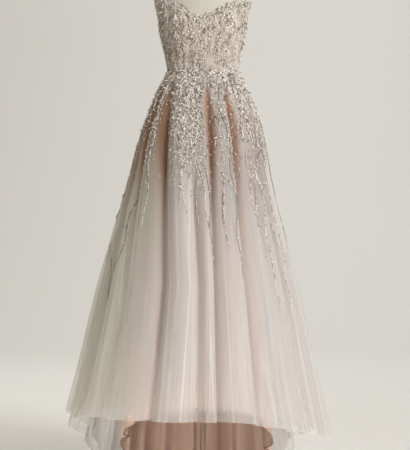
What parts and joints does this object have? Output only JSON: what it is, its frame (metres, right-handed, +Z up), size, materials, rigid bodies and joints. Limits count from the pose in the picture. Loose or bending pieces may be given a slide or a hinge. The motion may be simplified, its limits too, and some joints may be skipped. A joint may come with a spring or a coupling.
{
  "type": "wedding dress on a dress form",
  "caption": "Strapless beaded A-line wedding gown with tulle skirts over a satin lining and a short sweep train, standing on a limbless linen dress form.",
  "frame": {"origin": "centre of the stand base's underside, on the floor", "axes": "+Z up the pole, the dress's front faces -Y, +X is to the viewer's right"},
  "size_m": [0.8795, 1.0719, 1.8333],
  "materials": {
    "beaded_bodice": "nude satin under tulle, thickly beaded",
    "outer_tulle": "sheer ivory tulle",
    "middle_tulle": "sheer ivory tulle",
    "hem_tulle": "doubled tulle hem",
    "satin": "soft blush satin",
    "linen": "plain cream linen",
    "stand_metal": "dark bronzed steel"
  },
  "bodies": {
    "root": {"bodice_back_left": "beaded_bodice", "bodice_side_back_left": "beaded_bodice", "bodice_side_front_left": "beaded_bodice", "bodice_centre_front": "beaded_bodice", "bodice_side_front_right": "beaded_bodice", "bodice_side_back_right": "beaded_bodice", "bodice_back_right": "beaded_bodice", "back_zip": "satin", "tulle_outer_back_left": "outer_tulle", "tulle_outer_side_left": "outer_tulle", "tulle_outer_front_left": "outer_tulle", "tulle_outer_front": "outer_tulle", "tulle_outer_front_right": "outer_tulle", "tulle_outer_side_right": "outer_tulle", "tulle_outer_back_right": "outer_tulle", "hem_band_back_left": "hem_tulle", "hem_band_side_left": "hem_tulle", "hem_band_front_left": "hem_tulle", "hem_band_front": "hem_tulle", "hem_band_front_right": "hem_tulle", "hem_band_side_right": "hem_tulle", "hem_band_back_right": "hem_tulle", "tulle_middle_back_left": "middle_tulle", "tulle_middle_side_left": "middle_tulle", "tulle_middle_front_left": "middle_tulle", "tulle_middle_front": "middle_tulle", "tulle_middle_front_right": "middle_tulle", "tulle_middle_side_right": "middle_tulle", "tulle_middle_back_right": "middle_tulle", "lining_back_left": "satin", "lining_side_left": "satin", "lining_front": "satin", "lining_side_right": "satin", "lining_back_right": "satin", "form_torso": "linen", "neck_cap": "linen", "stand_pole": "stand_metal", "stand_base": "stand_metal"}
  },
  "joints": []
}
